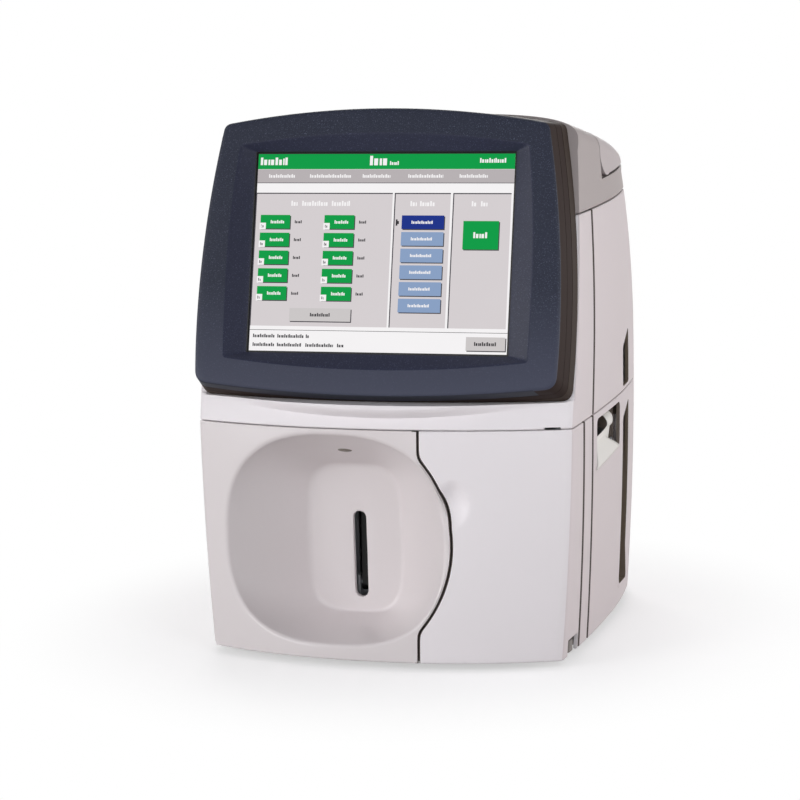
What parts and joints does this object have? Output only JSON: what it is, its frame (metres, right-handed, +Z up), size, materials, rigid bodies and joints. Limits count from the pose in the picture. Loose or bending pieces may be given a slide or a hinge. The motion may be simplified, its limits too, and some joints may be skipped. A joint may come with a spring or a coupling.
{
  "type": "bench-top blood analyzer",
  "caption": "Bench-top blood analyzer with a tilted touch screen, a sampling bowl with an upright slot, a hinged cartridge door, a side printer and a folding carry handle.",
  "frame": {"origin": "on the table under the middle of the unit", "axes": "+X to the right of someone facing the screen, +Y to the rear, +Z up"},
  "size_m": [0.3168, 0.311, 0.4324],
  "materials": {
    "front": "satin",
    "cover": "satin",
    "bezel": "fine texture",
    "display_shell": "satin",
    "screen_glass": "gloss",
    "lcd_metal": "satin",
    "circuit_board": "satin",
    "steel": "satin",
    "dark_plastic": "satin",
    "inner_grey": "satin",
    "white_plastic": "gloss",
    "paper": "matt",
    "roller_rubber": "matt",
    "foot_rubber": "matt",
    "printer_brown": "satin",
    "base_metal": "satin",
    "light_lens": "gloss"
  },
  "bodies": {
    "housing": {"display_bezel": "bezel", "display_rear_shell": "display_shell", "screen_glass": "screen_glass", "lcd_panel": "lcd_metal", "display_board": "circuit_board", "bowl_cover": "front", "door_pillar": "cover", "upper_front_cover": "front", "left_side_cover": "cover", "right_side_cover": "cover", "printer_side_cover": "cover", "top_cover": "cover", "rear_cover": "cover", "bowl_light": "light_lens", "handle_pivot_left": "steel", "handle_pivot_right": "steel", "base_pan": "base_metal", "foot_front_left": "foot_rubber", "foot_front_right": "foot_rubber", "foot_rear_left": "foot_rubber", "foot_rear_right": "foot_rubber", "door_pin_lower": "steel", "door_pin_upper": "steel", "chassis_frame": "steel", "cartridge_bay": "inner_grey", "cartridge": "white_plastic", "pump_motor": "dark_plastic", "valve_motor": "dark_plastic", "heater_block": "steel", "sampler_bracket": "steel", "sampler_pivot": "steel", "cpu_board": "circuit_board", "io_ports": "steel", "power_supply": "steel", "power_inlet": "dark_plastic", "switch_frame": "dark_plastic", "fan_frame": "dark_plastic", "printer_frame": "printer_brown", "paper_strip": "paper", "tear_bar": "steel", "print_head": "dark_plastic", "cover_screw_lower_left": "steel", "cover_screw_lower_right": "steel", "cover_screw_upper_left": "steel", "cover_screw_upper_right": "steel"},
    "door": {"cartridge_door": "front"},
    "handle": {"carry_handle": "cover"},
    "sampler": {"sampler_arm": "dark_plastic", "sampler_needle": "steel"},
    "pump_wheel": {"pump_rotor": "white_plastic"},
    "valve": {"valve_spindle": "steel"},
    "fan": {"fan_rotor": "dark_plastic"},
    "platen": {"platen_roller": "roller_rubber"},
    "roll": {"paper_roll": "paper"},
    "rocker": {"power_switch": "dark_plastic"}
  },
  "joints": [
    {"name": "door_hinge", "type": "hinge", "parent": "housing", "child": "door", "pos_m": [0.1385, -0.106, 0.1], "axis": [0, 0, 1], "range_deg": [0, 100]},
    {"name": "handle_hinge", "type": "hinge", "parent": "housing", "child": "handle", "pos_m": [0, 0.028, 0.391], "axis": [1, 0, 0], "range_deg": [0, 90]},
    {"name": "sampler_swing", "type": "hinge", "parent": "housing", "child": "sampler", "pos_m": [-0.0315, -0.066, 0.048], "axis": [1, 0, 0], "range_deg": [0, 55]},
    {"name": "pump_spin", "type": "hinge", "parent": "housing", "child": "pump_wheel", "pos_m": [0.07, -0.006, 0.146], "axis": [1, 0, 0], "continuous": true},
    {"name": "valve_turn", "type": "hinge", "parent": "housing", "child": "valve", "pos_m": [0.07, 0.042, 0.07], "axis": [1, 0, 0], "continuous": true},
    {"name": "fan_spin", "type": "hinge", "parent": "housing", "child": "fan", "pos_m": [0.062, 0.12, 0.12], "axis": [0, 1, 0], "continuous": true},
    {"name": "platen_spin", "type": "hinge", "parent": "housing", "child": "platen", "pos_m": [0.1424, -0.0045, 0.157], "axis": [0, 1, 0], "continuous": true},
    {"name": "roll_spin", "type": "hinge", "parent": "housing", "child": "roll", "pos_m": [0.1365, -0.0045, 0.122], "axis": [0, 1, 0], "continuous": true},
    {"name": "power_rock", "type": "hinge", "parent": "housing", "child": "rocker", "pos_m": [-0.058, 0.1467, 0.044], "axis": [-1, 0, 0], "range_deg": [0, 12]}
  ],
  "couplings": [
    {"joint": "platen_spin", "follows": "roll_spin", "ratio": 2.3333}
  ]
}
